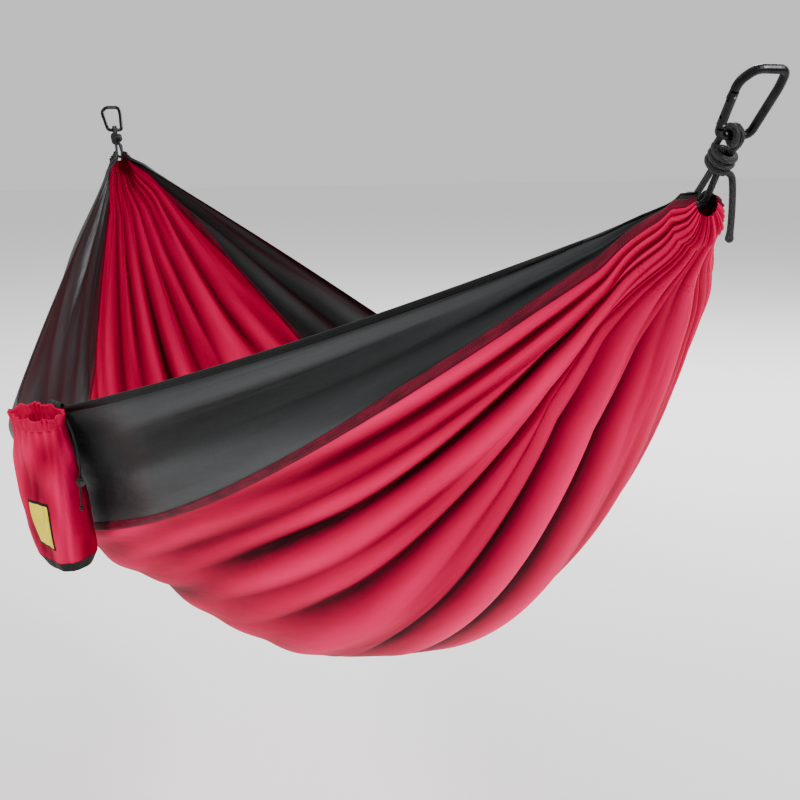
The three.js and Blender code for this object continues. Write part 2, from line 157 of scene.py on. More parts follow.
def grid_object(name, points, uvs, look, body, shade):
    """A sheet through a (rows, cols, 3) grid; shade is a (rows, cols) grid of painted fold shade."""
    rows, cols = points.shape[:2]
    obj = mesh_object(name, points.reshape(-1, 3), grid_faces(rows, cols), uvs.reshape(-1, 2))
    finish_piece(obj, look, body)
    paint(obj, shade.ravel())
    return obj


# stores painted shade in a vertex colour layer: 0 painted fully dark, 0.5 none, 1 painted fully light
def paint(obj, values):
    layer = obj.data.color_attributes.new("fold", "FLOAT_COLOR", "POINT")
    colour = np.repeat(values[:, None], 4, axis=1)
    colour[:, 3] = 1
    layer.data.foreach_set("color", colour.astype(np.float32).ravel())


def finish_piece(obj, look, body):
    obj.data.materials.append(MATERIALS[look])
    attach(obj, body)


def frames_along(points):
    """Side and up vectors that turn as little as possible along a polyline."""
    tangents = np.gradient(points, axis=0)
    tangents /= np.linalg.norm(tangents, axis=1)[:, None]
    seed = np.array([0.0, 0.0, 1.0]) if abs(tangents[0][2]) < 0.9 else np.array([0.0, 1.0, 0.0])
    side = np.cross(tangents[0], seed)
    side /= np.linalg.norm(side)
    sides = []
    for tangent in tangents:
        side = side - tangent * side.dot(tangent)
        side /= np.linalg.norm(side)
        sides.append(side)
    sides = np.array(sides)
    return sides, np.cross(tangents, sides)


def smooth_line(points, step):
    """A centripetal spline through given points, resampled at an even step."""
    p = np.asarray(points, float)
    p = np.vstack([2 * p[0] - p[1], p, 2 * p[-1] - p[-2]])
    out = []
    for k in range(1, len(p) - 2):
        p0, p1, p2, p3 = p[k - 1 : k + 3]
        t0 = 0
        t1 = t0 + np.linalg.norm(p1 - p0) ** 0.5
        t2 = t1 + np.linalg.norm(p2 - p1) ** 0.5
        t3 = t2 + np.linalg.norm(p3 - p2) ** 0.5
        for t in np.linspace(t1, t2, 12, endpoint=False):
            a1 = (t1 - t) / (t1 - t0) * p0 + (t - t0) / (t1 - t0) * p1
            a2 = (t2 - t) / (t2 - t1) * p1 + (t - t1) / (t2 - t1) * p2
            a3 = (t3 - t) / (t3 - t2) * p2 + (t - t2) / (t3 - t2) * p3
            b1 = (t2 - t) / (t2 - t0) * a1 + (t - t0) / (t2 - t0) * a2
            b2 = (t3 - t) / (t3 - t1) * a2 + (t - t1) / (t3 - t1) * a3
            out.append((t2 - t) / (t2 - t1) * b1 + (t - t1) / (t2 - t1) * b2)
    out.append(p[-2])
    return resample(np.array(out), step)


def run_along(points):
    return np.r_[0, np.cumsum(np.linalg.norm(np.diff(points, axis=0), axis=1))]


def points_at(want, run, points):
    return np.stack([np.interp(want, run, points[:, k]) for k in range(3)], axis=1)


def resample(points, step):
    run = run_along(points)
    count = max(2, int(round(run[-1] / step)) + 1)
    want = np.linspace(0, run[-1], count)
    return points_at(want, run, points)


# ---- shape of the bed ----
def smoothstep(low, high, value):
    x = np.clip((value - low) / (high - low), 0, 1)
    return x * x * (3 - 2 * x)


def lerp(a, b, share):
    return a + (b - a) * share


def rim_size(rim, spread, reach):
    out, down, out_curve, down_curve = rim
    y = NECK + out * spread * (1 + out_curve * reach)
    z = NECK / 2 - down * spread * (1 + down_curve * reach)
    return y, z


def envelope_wrap(station, samples=160):
    """One wrap of the unfolded bed, as y and z, from the front rim under to the back rim."""
    reach = min(1.0, math.hypot(station, RIM_SOFTNESS))
    spread = (1 - reach) / (1 - RIM_SOFTNESS)
    front_y, front_z = rim_size(FRONT_RIM, spread, reach)
    back_y, back_z = rim_size(BACK_RIM, spread, reach)
    bottom = -NECK - BELLY_DEPTH * (1 - min(1.0, abs(station)) ** BELLY_POWER)
    swell = BELLY_BULGE * reach**2 * (1 - reach) ** 0.35
    turn = np.linspace(0, np.pi, samples)
    sine = np.clip(np.sin(turn), 0, None)
    across = (1 - np.cos(turn)) / 2
    side = -np.cos(turn) * sine**0.8
    y = lerp(-front_y, back_y, across) + swell * side * np.where(side < 0, FRONT_BULGE_SHARE, 1)
    sag = bottom - (front_z + back_z) / 2
    z = lerp(front_z, back_z, across) + sag * sine ** (ROUNDNESS - 0.5 * station**2)
    return y, z - DROP


NECK_FROM = 0.020  # the bunched neck gives way to the open bed between these distances
NECK_TO = 0.088
WAIST = 0.0185
MOUTH = 0.0065  # the bunch closes to this radius on the rope's loop
NECK_FLARE = 0.74
NECK_SINK = 0.013  # the bunch hangs this far under the rope's loop
NECK_FALL = 0.80  # and this much lower for each metre inward
NECK_SPAN = math.radians(322)


def neck_size(inward):
    """Radius of the bunch, and how far its centre is under the gather."""
    if inward > 0:
        return math.hypot(WAIST, NECK_FLARE * inward), NECK_SINK + NECK_FALL * inward
    past = min(1.0, -inward / RUFFLE)
    closing = math.sqrt(1 - past**2)
    return MOUTH + (WAIST - MOUTH) * closing, NECK_SINK * closing


def neck_wrap(inward, samples=160):
    """The bunched cloth near the rope: almost a closed ring, open at the top."""
    radius, sink = neck_size(inward)
    turn = np.linspace(-0.5, 0.5, samples) * NECK_SPAN
    return radius * np.sin(turn), -DROP - sink - radius * np.cos(turn)


def even_wrap(y, z, shares):
    run = np.r_[0, np.cumsum(np.hypot(np.diff(y), np.diff(z)))]
    want = np.asarray(shares) * run[-1]
    return np.interp(want, run, y), np.interp(want, run, z), run[-1]


def base_row(x, shares):
    """The smooth bed at one cross-section x from the middle, for shares 0 to 1 of the wrap."""
    inward = HALF - abs(x)
    y, z, length = even_wrap(*envelope_wrap(np.clip(x / HALF, -0.9995, 0.9995)), shares)
    bunch = 1 - smoothstep(NECK_FROM, NECK_TO, inward)
    if bunch > 0:
        neck_y, neck_z, neck_length = even_wrap(*neck_wrap(inward), shares)
        y = lerp(y, neck_y, bunch)
        z = lerp(z, neck_z, bunch)
        length = lerp(length, neck_length, bunch)
    return np.stack([np.full(len(y), MID_X + x), y, z], axis=1), length


def side_share(station):
    return SIDE_SHARE + SIDE_SHARE_MORE * (1 - min(1, abs(station)) ** 2) ** 2


def front_share(station):
    return side_share(station) + FAR_FRONT_MORE * smoothstep(0.1, 0.75, -station)


def band_edges(x, length):
    """Shares of the wrap at which each band of cloth begins and ends."""
    seam = min(SEAM_WIDTH, length * 0.05) / length
    hem = min(HEM_WIDTH, length * 0.05) / length
    front = front_share(x / HALF)
    back = 1 - side_share(x / HALF)
    return {
        "front_hem": (0, hem),
        "front_panel": (hem * 0.5, front),
        "front_seam": (front - seam / 2, front + seam / 2),
        "centre_panel": (front, back),
        "back_seam": (back - seam / 2, back + seam / 2),
        "back_panel": (back, 1 - hem * 0.5),
        "back_hem": (1 - hem, 1),
    }


# ---- folds ----
# Long valleys that run from a gather: share of the wrap near the gather, at the middle of the
# valley and at its end, then where it starts and ends (m from the rope), width and depth (m).
NEAR_VALLEYS = (
    (0.032, 0.030, 0.033, 0.05, 0.95, 0.011, 0.008),
    (0.060, 0.058, 0.066, 0.30, 1.15, 0.020, 0.009),
    (0.098, 0.086, 0.090, 0.04, 0.85, 0.018, 0.014),
    (0.135, 0.128, 0.125, 0.03, 0.45, 0.010, 0.007),
    (0.198, 0.188, 0.180, 0.02, 0.60, 0.014, 0.015),
    (0.235, 0.233, 0.237, 0.22, 1.15, 0.034, 0.018),
    (0.292, 0.280, 0.272, 0.03, 0.90, 0.026, 0.032),
    (0.330, 0.326, 0.331, 0.30, 1.15, 0.032, 0.018),
    (0.385, 0.362, 0.368, 0.03, 0.95, 0.028, 0.030),
    (0.425, 0.418, 0.410, 0.02, 0.48, 0.018, 0.018),
    (0.467, 0.462, 0.470, 0.02, 0.80, 0.024, 0.032),
    (0.540, 0.524, 0.520, 0.02, 0.75, 0.022, 0.030),
    (0.585, 0.592, 0.600, 0.02, 0.45, 0.014, 0.007),
    (0.632, 0.660, 0.672, 0.02, 0.80, 0.016, 0.007),
    (0.700, 0.720, 0.725, 0.03, 0.60, 0.016, 0.010),
    (0.770, 0.765, 0.775, 0.03, 0.80, 0.024, 0.014),
    (0.860, 0.880, 0.890, 0.04, 0.60, 0.013, 0.008),
    (0.940, 0.950, 0.955, 0.05, 0.80, 0.012, 0.007),
)
FAR_VALLEYS = (
    (0.045, 0.050, 0.045, 0.05, 0.70, 0.013, 0.007),
    (0.140, 0.150, 0.140, 0.04, 0.60, 0.016, 0.009),
    (0.230, 0.240, 0.245, 0.04, 0.70, 0.018, 0.010),
    (0.370, 0.380, 0.390, 0.03, 0.50, 0.016, 0.012),
    (0.450, 0.460, 0.470, 0.02, 0.90, 0.024, 0.018),
    (0.520, 0.530, 0.540, 0.02, 0.95, 0.028, 0.020),
    (0.590, 0.600, 0.610, 0.02, 0.55, 0.018, 0.013),
    (0.660, 0.670, 0.660, 0.02, 0.90, 0.026, 0.018),
    (0.740, 0.750, 0.755, 0.03, 0.60, 0.018, 0.012),
    (0.850, 0.880, 0.890, 0.04, 0.85, 0.014, 0.010),
    (0.915, 0.925, 0.930, 0.04, 0.95, 0.013, 0.010),
    (0.960, 0.965, 0.968, 0.05, 0.80, 0.010, 0.007),
)


SWELL = 0.012  # the cloth between the valleys stands this far out
POUCH_AHEAD = 0.150  # from the middle of the bed to the pouch's middle
POUCH_DENT = 0.013  # the pouch presses the cloth behind it in by this much
PRESSED = 0.25  # and leaves this share of its folds
DENT_ALONG = (0.065, 0.24)  # m from the pouch's middle: full dent, no dent
DENT_ACROSS = (0.11, 0.19)  # share of the wrap, likewise


def behind_pouch(x, shares):
    """1 on the cloth that the pouch rests against, 0 away from it."""
    beside = 1 - smoothstep(*DENT_ALONG, abs(x - POUCH_AHEAD))
    return beside * (1 - smoothstep(*DENT_ACROSS, shares))


# Slack ripples over the whole bed: height (m), waves across it, how far each wave wanders, how often.
SLACK_WAVES = ((0.0030, 9, 3, 2.6), (0.0016, 19, 5, 3.1), (0.0040, 5, 2, 3.3))
RIM_CALM = 0.04  # no folds at the rims; they grow over this share of the wrap
PLEATS = 25
PLEAT_HEIGHT = 0.0105
PLEAT_WIDTH = (0.26 / PLEATS, 0.34 / PLEATS)  # share of the wrap: usual, widest
PLEAT_NARROWEST = 0.0045  # m
PLEAT_OUT = 0.55  # the cloth between two pleats stands out by this share of their height
EASY_SIDE = 0.62  # a valley is wider on its side towards the front rim
STEEP_SIDE = 1.25
VALLEY_LEAN = 0.9  # a deep valley pulls its cloth sideways by this share of its depth


class Folds:
    """Pleats bunched at each gather, the long valleys placed above, and slack between them."""

    def __init__(self, seed):
        rng = random.Random(seed)
        self.pleats = {1: self.one_gather(rng), -1: self.one_gather(rng)}
        self.phases = [rng.uniform(0, 6.28) for _ in range(2 * len(SLACK_WAVES))]
        self.valleys = {1: NEAR_VALLEYS, -1: FAR_VALLEYS}

    def one_gather(self, rng):
        pleats = []
        for k in range(PLEATS):
            pleats.append(
                {
                    "share": (k + rng.uniform(0.1, 0.9)) / PLEATS,
                    "drift": rng.uniform(-0.05, 0.05),
                    "depth": rng.uniform(0.45, 1.0),
                    "fade": rng.uniform(0.06, 0.20),
                }
            )
        return pleats

    def pleat_depth(self, end, inward, shares, length):
        total = np.zeros_like(shares)
        radius, _ = neck_size(inward)
        size = min(0.40 * radius, PLEAT_HEIGHT)
        usual, widest = PLEAT_WIDTH
        width = min(max(usual, PLEAT_NARROWEST / length), widest)
        for pleat in self.pleats[end]:
            centre = pleat["share"] + pleat["drift"] * inward
            strength = pleat["depth"] * math.exp(-((max(inward, 0) / pleat["fade"]) ** 1.5))
            total += strength * np.exp(-np.abs((shares - centre) / width) ** 1.2)
        return size * (PLEAT_OUT - total)

    def valley_depth(self, end, inward, shares, length):
        """Each valley curves along its three shares, and is deepest in its middle stretch."""
        total = np.zeros_like(shares)
        lean = np.zeros_like(shares)
        for first, middle, last, start, stop, width, depth in self.valleys[end]:
            along = min(max(inward / stop, 0), 1)
            centre = (1 - along) ** 2 * first + 2 * along * (1 - along) * middle + along**2 * last
            strength = smoothstep(start * 0.3, start + 0.07, inward)
            strength = strength * (1 - smoothstep(stop * 0.55, stop * 1.15, inward))
            narrow = width * (0.45 + 0.75 * along) / length
            offset = (shares - centre) / narrow
            offset = np.where(offset < 0, offset * EASY_SIDE, offset * STEEP_SIDE)
            reach = min(1.0, 0.30 + inward / 0.22)
            shape = np.exp(-np.abs(offset) ** 1.25)
            total -= strength * reach * depth * shape
            lean -= strength * reach * depth * shape * VALLEY_LEAN
        return total, lean

    def lift(self, x, shares, length):
        """Outward and sideways shift of the cloth at one cross-section."""
        out = np.zeros_like(shares)
        lean = np.zeros_like(shares)
        for end in (1, -1):
            inward = HALF - end * x
            out += self.pleat_depth(end, inward, shares, length)
            deep, tilt = self.valley_depth(end, inward, shares, length)
            out += deep
            lean += tilt
        slack = np.zeros_like(shares)
        for k, (height, waves, wander, pace) in enumerate(SLACK_WAVES):
            drift = wander * np.sin(pace * x + self.phases[2 * k]) + self.phases[2 * k + 1]
            slack += height * np.sin(2 * np.pi * waves * shares + drift)
        inward = HALF - abs(x)
        calm = smoothstep(0.06, 0.5, inward)
        edge = smoothstep(0, RIM_CALM, shares) * smoothstep(0, RIM_CALM, 1 - shares)
        rim_calm = lerp(edge, 1, 1 - smoothstep(0.0, 0.10, inward))
        out = out + (slack + SWELL) * calm
        out = lerp(out, out * PRESSED - POUCH_DENT, behind_pouch(x, shares))
        return out * rim_calm, lean * rim_calm


FOLDS = Folds(SEED)
COLUMNS = {"front_panel": 64, "centre_panel": 230, "back_panel": 64}
ROWS_PER_HALF = 230
ROW_POWER = 1.6


def row_stations():
    """Cross-sections from the far ruffle to the near one, close together at the gathers."""
    length = HALF + RUFFLE
    inward = length * (np.arange(ROWS_PER_HALF + 1) / ROWS_PER_HALF) ** ROW_POWER
    half = length - inward
    return np.r_[-half[:-1], half[::-1]]


ROWS = row_stations()
ALL_SHARES = np.linspace(0, 1, 900)
DEPTH_WINDOW = 81  # samples of the wrap that a fold is compared with, for the painted fold shade


def folded_row(x):
    """Points, wrap length and fold depth along one cross-section of the folded bed."""
    here, length = base_row(x, ALL_SHARES)
    step = 0.004
    ahead, _ = base_row(x + step, ALL_SHARES)
    behind, _ = base_row(x - step, ALL_SHARES)
    along = (ahead - behind) / (2 * step)
    across = np.gradient(here, ALL_SHARES, axis=0)
    across /= np.linalg.norm(across, axis=1)[:, None] + 1e-9
    normal = np.cross(across, along)
    normal /= np.linalg.norm(normal, axis=1)[:, None] + 1e-9
    out, lean = FOLDS.lift(x, ALL_SHARES, length)
    points = here + normal * out[:, None] + across * lean[:, None]
    # how far each fold stands out from its neighbourhood, used only for the painted fold shade
    around = np.ones(DEPTH_WINDOW) / DEPTH_WINDOW
    smooth_out = np.convolve(np.pad(out, DEPTH_WINDOW // 2, mode="edge"), around, mode="valid")
    depth = out - smooth_out
    return points, length, depth


class Bed:
    """The folded bed, sampled once, and read by every piece that lies on it.

    Its normals point out, away from the space that a person lies in.
    """

    def __init__(self):
        rows = [folded_row(x) for x in ROWS]
        self.points = np.array([row[0] for row in rows])
        self.lengths = np.array([row[1] for row in rows])
        # fold depth, read only for the painted fold shade
        self.depth = np.array([row[2] for row in rows])
        along = np.gradient(self.points, axis=0)
        across = np.gradient(self.points, axis=1)
        normal = np.cross(across, along)
        self.normals = normal / (np.linalg.norm(normal, axis=2)[..., None] + 1e-12)

    def row(self, r, shares, values=None):
        data = self.points if values is None else values
        if data.ndim == 2:
            return np.interp(shares, ALL_SHARES, data[r])
        return points_at(shares, ALL_SHARES, data[r])

    def at(self, x, shares):
        """Points and normals at one x between rows."""
        r = int(np.clip(np.searchsorted(ROWS, x) - 1, 0, len(ROWS) - 2))
        mix = (x - ROWS[r]) / (ROWS[r + 1] - ROWS[r])
        points = lerp(self.row(r, shares), self.row(r + 1, shares), mix)
        normals = lerp(self.row(r, shares, self.normals), self.row(r + 1, shares, self.normals), mix)
        return points, normals


BED = Bed()


# ---- materials ----
class Nodes:
    """A short way to write a material's node tree."""

    def __init__(self, name):
        self.material = bpy.data.materials.new(name)
        self.material.use_nodes = True
        self.tree = self.material.node_tree
        self.bsdf = self.tree.nodes["Principled BSDF"]

    def add(self, kind, inputs=None, **settings):
        node = self.tree.nodes.new(kind)
        for key, value in settings.items():
            setattr(node, key, value)
        for key, value in (inputs or {}).items():
            if isinstance(value, bpy.types.NodeSocket):
                self.tree.links.new(value, node.inputs[key])
            else:
                node.inputs[key].default_value = value
        return node

    def link(self, output, name):
        self.tree.links.new(output, self.bsdf.inputs[name])

    def set(self, **values):
        for key, value in values.items():
            self.bsdf.inputs[key.replace("_", " ")].default_value = value

    def uv(self):
        return self.add("ShaderNodeUVMap", uv_map="cloth").outputs["UV"]

    def position(self):
        return self.add("ShaderNodeNewGeometry").outputs["Position"]

    def noise(self, scale, detail=3.0, vector=None, roughness=0.5):
        inputs = {"Scale": scale, "Detail": detail, "Roughness": roughness}
        if vector is not None:
            inputs["Vector"] = vector
        return self.add("ShaderNodeTexNoise", inputs).outputs["Fac"]

    def ramp(self, factor, stops):
        node = self.add("ShaderNodeValToRGB", {"Fac": factor})
        elements = node.color_ramp.elements
        while len(elements) < len(stops):
            elements.new(0.5)
        for element, (place, colour) in zip(elements, stops):
            element.position = place
            element.color = (*colour, 1)
        return node.outputs["Color"]

    def math(self, operation, a, b):
        return self.add("ShaderNodeMath", {0: a, 1: b}, operation=operation).outputs[0]

    def scaled(self, vector, scale):
        return self.add("ShaderNodeMapping", {"Vector": vector, "Scale": scale}).outputs["Vector"]

    def bump(self, layers):
        """layers is a list of (height, strength, distance)."""
        normal = None
        for height, strength, distance in layers:
            inputs = {"Height": height, "Strength": strength, "Distance": distance}
            if normal is not None:
                inputs["Normal"] = normal
            normal = self.add("ShaderNodeBump", inputs).outputs["Normal"]
        self.link(normal, "Normal")


def nylon(name, dark, mid, light, roughness, shine):
    """Thin parachute nylon: a tight weave, soft crinkles, random tone, and painted shade that darkens
    the fold valleys and lightens the ridges.
    """
    n = Nodes(name)
    uv = n.uv()
    place = n.position()
    # the painted fold shade, stored on the cloth's vertices
    fold = n.add("ShaderNodeVertexColor", layer_name="fold").outputs["Color"]
    patches = n.noise(3.0, 4.0, place)
    streaks = n.noise(6.0, 3.0, n.scaled(uv, (1.0, 9.0, 1.0)))
    tone_and_shade = n.math("ADD", n.math("MULTIPLY", patches, 0.2), n.math("MULTIPLY", streaks, 0.2))
    # random tone plus the painted fold shade
    tone_and_shade = n.math("ADD", tone_and_shade, n.math("MULTIPLY", fold, 1.0))
    tone_and_shade = n.math("SUBTRACT", tone_and_shade, 0.20)
    n.link(n.ramp(tone_and_shade, [(0.0, dark), (0.5, mid), (1.0, light)]), "Base Color")
    crinkle = n.noise(26.0, 5.0, n.scaled(uv, (0.45, 1.7, 1.0)), 0.6)
    pucker = n.noise(9.0, 3.0, n.scaled(uv, (0.35, 2.4, 1.0)))
    warp = n.noise(420.0, 1.0, n.scaled(uv, (0.15, 1.0, 1.0)))
    weft = n.noise(420.0, 1.0, n.scaled(uv, (1.0, 0.15, 1.0)))
    weave = n.math("ADD", warp, weft)
    n.bump([(pucker, 0.35, 0.012), (crinkle, 0.30, 0.005), (weave, 0.20, 0.0006)])
    n.link(n.math("ADD", n.math("MULTIPLY", crinkle, 0.16), roughness - 0.08), "Roughness")
    n.set(Specular_IOR_Level=shine, Specular_Tint=(*light, 1))
    return n.material


def red_nylon():
    # dark is mostly painted shade in the fold valleys, light mostly painted light on the ridges
    dark = (0.016, 0.0, 0.002)
    mid = (0.40, 0.0, 0.036)
    light = (0.82, 0.004, 0.105)
    return nylon("red_nylon", dark, mid, light, 0.58, 0.03)


def charcoal_nylon():
    # dark is mostly painted shade in the fold valleys, light mostly painted light on the ridges
    dark = (0.002, 0.002, 0.002)
    mid = (0.0165, 0.0178, 0.0182)
    light = (0.050, 0.053, 0.0545)
    return nylon("charcoal_nylon", dark, mid, light, 0.48, 0.20)


def tape_fabric(name, dark, light):
    n = Nodes(name)
    uv = n.uv()
    mottle = n.noise(60.0, 4.0, n.scaled(uv, (0.5, 2.0, 1.0)))
    n.link(n.ramp(mottle, [(0.3, dark), (0.75, light)]), "Base Color")
    weave = n.noise(900.0, 1.0, uv)
    n.bump([(mottle, 0.3, 0.002), (weave, 0.25, 0.0005)])
    n.set(Roughness=0.66, Specular_IOR_Level=0.12)
    return n.material


def thread(name, colour):
    n = Nodes(name)
    twist = n.noise(3000.0, 1.0, n.position())
    n.link(n.ramp(twist, [(0.2, tuple(c * 0.6 for c in colour)), (0.8, colour)]), "Base Color")
    n.set(Roughness=0.6)
    return n.material


def braided_cord(name, dark, light, turn):
    """Round braid: two sets of strands that cross, with the UV in metres along the cord."""
    n = Nodes(name)
    uv = n.uv()
    split = n.add("ShaderNodeSeparateXYZ", {"Vector": uv})
    along = n.math("MULTIPLY", split.outputs["X"], 1.0 / turn)
    around = split.outputs["Y"]
    bands = []
    for sign in (1, -1):
        slant = n.math("ADD", n.math("MULTIPLY", along, float(sign)), n.math("MULTIPLY", around, 8.0))
        wave = n.math("SINE", n.math("MULTIPLY", slant, 2 * math.pi), 0.0)
        bands.append(n.math("ADD", n.math("MULTIPLY", wave, 0.5), 0.5))
    braid = n.math("MULTIPLY", bands[0], bands[1])
    # painted shade: the colour darkens in the grooves between the strands, where the bump sinks
    n.link(n.ramp(braid, [(0.0, dark), (0.9, light)]), "Base Color")
    fuzz = n.noise(1800.0, 2.0, n.position())
    n.bump([(braid, 0.9, 0.0012), (fuzz, 0.2, 0.0004)])
    n.set(Roughness=0.65, Specular_IOR_Level=0.35, Sheen_Weight=0.05, Sheen_Roughness=0.5)
    return n.material


def anodised(name):
    n = Nodes(name)
    place = n.position()
    worn = n.noise(60.0, 6.0, place, 0.7)
    n.link(n.ramp(worn, [(0.45, (0.006, 0.006, 0.007)), (0.75, (0.018, 0.018, 0.02))]), "Base Color")
    fine = n.noise(500.0, 3.0, place)
    n.link(n.math("ADD", n.math("MULTIPLY", fine, 0.18), 0.24), "Roughness")
    n.bump([(fine, 0.08, 0.0003)])
    n.set(Metallic=0.85, Specular_IOR_Level=0.5)
    return n.material


def plain_steel(name):
    n = Nodes(name)
    place = n.position()
    fine = n.noise(900.0, 3.0, place)
    n.link(n.ramp(fine, [(0.3, (0.10, 0.10, 0.105)), (0.8, (0.22, 0.22, 0.23))]), "Base Color")
    n.link(n.math("ADD", n.math("MULTIPLY", fine, 0.2), 0.25), "Roughness")
    n.set(Metallic=1.0)
    return n.material


def moulded_plastic(name, colour):
    n = Nodes(name)
    grain = n.noise(1200.0, 3.0, n.position())
    n.link(n.ramp(grain, [(0.3, colour), (0.8, tuple(c * 1.6 for c in colour))]), "Base Color")
    n.bump([(grain, 0.15, 0.0003)])
    n.set(Roughness=0.42)
    return n.material


MATERIALS = {
    "red": red_nylon(),
    "charcoal": charcoal_nylon(),
    "maroon": tape_fabric("maroon_tape", (0.040, 0.0, 0.005), (0.150, 0.001, 0.018)),
    "tape": tape_fabric("charcoal_tape", (0.012, 0.012, 0.013), (0.04, 0.04, 0.042)),
    "black_cloth": tape_fabric("black_cloth", (0.002, 0.002, 0.002), (0.008, 0.008, 0.0085)),
    "label": tape_fabric("label_yellow", (0.62, 0.46, 0.015), (0.82, 0.66, 0.035)),
    "red_thread": thread("red_thread", (0.30, 0.004, 0.030)),
    "dark_thread": thread("dark_thread", (0.03, 0.03, 0.032)),
    "rope": braided_cord("black_rope", (0.001, 0.001, 0.001), (0.007, 0.007, 0.0075), 0.009),
    "cord": braided_cord("black_cord", (0.001, 0.001, 0.001), (0.008, 0.008, 0.0085), 0.005),
    "aluminium": anodised("black_aluminium"),
    "steel": plain_steel("steel_pin"),
    "plastic": moulded_plastic("black_plastic", (0.008, 0.008, 0.009)),
}
MATERIALS["pouch_thread"] = MATERIALS["red_thread"]


# ---- bed cloth, seams and hems ----
SHADE_DEPTH = 0.0085  # painted shade: a fold valley this deep is painted fully dark, a ridge this high fully light


def cloth_along():
    return (ROWS - ROWS[0]) / (ROWS[-1] - ROWS[0]) * FLAT_LENGTH


def cloth_uv(shares):
    """Flat cloth coordinates in metres: along the bed, then across it."""
    along = np.repeat(cloth_along()[:, None], shares.shape[1], 1)
    width = FRONT_CLOTH + CENTRE_CLOTH + BACK_CLOTH
    return np.stack([along, shares * width], axis=2)


def panel(name, columns, look, replaced):
    spread = np.linspace(0, 1, columns)
    shares = []
    points = []
    depth = []
    for r, x in enumerate(ROWS):
        low, high = band_edges(x, BED.lengths[r])[name]
        row = lerp(low, high, spread)
        shares.append(row)
        points.append(BED.row(r, row))
        depth.append(BED.row(r, row, BED.depth))
    shares = np.array(shares)
    # painted shade: fold valleys painted darker, fold ridges painted lighter
    shade = np.clip(0.5 + np.array(depth) / (2 * SHADE_DEPTH), 0, 1)
    obj = grid_object(name + "_cloth", np.array(points), cloth_uv(shares), look, "bed", shade)
    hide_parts(*replaced)
    return obj


# Once around a flattened strip: share of its width, height in half thicknesses.
STRIP_SECTION = np.array(
    [
        (0.0, 0.15, 0.5, 0.85, 1.0, 1.0, 0.85, 0.5, 0.15, 0.0),
        (0.2, 0.9, 1.0, 0.9, 0.2, -0.2, -0.9, -1.0, -0.9, -0.2),
    ]
)


def strip_on_bed(name, band, lift, thick, look):
    """A closed strip that follows the folded bed between a band's two edges."""
    across, height = STRIP_SECTION
    height = height * thick / 2
    verts = []
    uvs = []
    along = cloth_along()
    for r, x in enumerate(ROWS):
        low, high = band_edges(x, BED.lengths[r])[band]
        shares = lerp(low, high, across)
        points = BED.row(r, shares)
        normals = BED.row(r, shares, BED.normals)
        verts.append(points + normals * (lift + height)[:, None])
        around = across * SEAM_WIDTH + 0.001 * height
        uvs.append(np.stack([np.full(len(across), along[r]), around], axis=1))
    rows, cols = len(ROWS), len(across)
    faces = grid_faces(rows, cols, wrapped=True)
    faces.append(tuple(reversed(range(cols))))
    faces.append(tuple(range((rows - 1) * cols, rows * cols)))
    obj = mesh_object(name, np.concatenate(verts), faces, np.concatenate(uvs))
    finish_piece(obj, look, "bed")
    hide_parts(band)


STITCH = 0.0026
STITCH_PITCH = 0.0040
STITCH_WIDE = 0.0007
STITCH_LIFT = 0.0004  # on a single layer of cloth
SEAM_LIFT = 0.0006
SEAM_THICK = 0.0026
SEAM_ROWS = (0.22, 0.78)  # across the seam
SEAM_STITCH_LIFT = 0.0018
HEM_THICK = 0.0032
HEM_STITCH_LIFT = 0.0012
HEM_ROW = 0.85  # across the hem, from the rim
CHANNEL_ROWS = (0.036, 0.040)  # m from the gather
STITCHED_FROM = 0.02  # m from the gather


def stitches(name, places, look, body="bed"):
    """Small lozenge stitches; places is a list of (centre, along, normal) rows."""
    verts = []
    faces = []
    for centre, along, normal in places:
        side = np.cross(along, normal)
        start = len(verts)
        verts.append(centre - along * STITCH / 2)
        verts.append(centre + side * STITCH_WIDE / 2)
        verts.append(centre + along * STITCH / 2)
        verts.append(centre - side * STITCH_WIDE / 2)
        verts.append(centre + normal * STITCH_WIDE * 0.6)
        a, b, c, d, e = range(start, start + 5)
        faces += [(a, b, e), (b, c, e), (c, d, e), (d, a, e), (a, d, c, b)]
    obj = mesh_object(name, np.array(verts), faces)
    finish_piece(obj, look, body)


def stitch_places(points, normals, lift):
    """Stitch places at an even pitch along a line that lies on the cloth."""
    run = run_along(points)
    want = np.arange(STITCH_PITCH, run[-1], STITCH_PITCH)
    line = points_at(want, run, points)
    up = points_at(want, run, normals)
    up /= np.linalg.norm(up, axis=1)[:, None] + 1e-9
    ahead = np.gradient(line, axis=0)
    ahead /= np.linalg.norm(ahead, axis=1)[:, None] + 1e-9
    return [(line[k] + up[k] * lift, ahead[k], up[k]) for k in range(len(line))]


def band_stitching(band, offsets, lift, look):
    """Rows of stitches along a band, on both of its faces."""
    places = []
    inside = np.abs(ROWS) < HALF - STITCHED_FROM
    for offset in offsets:
        points = []
        normals = []
        for r in np.nonzero(inside)[0]:
            low, high = band_edges(ROWS[r], BED.lengths[r])[band]
            share = np.array([lerp(low, high, offset)])
            points.append(BED.row(r, share)[0])
            normals.append(BED.row(r, share, BED.normals)[0])
        points = np.array(points)
        normals = np.array(normals)
        places += stitch_places(points, normals, lift)
        places += stitch_places(points, -normals, lift)
    stitches(band + "_stitches", places, look)


def channel_stitching(end):
    """Two rows of stitches across the pleats, where the rope channel is closed."""
    places = []
    shares = np.linspace(0.03, 0.97, 700)
    flip = 1 if end == "near" else -1
    for inward in CHANNEL_ROWS:
        points, normals = BED.at(flip * (HALF - inward), shares)
        places += stitch_places(points, normals, STITCH_LIFT)
    stitches(end + "_channel_stitches", places, "red_thread")


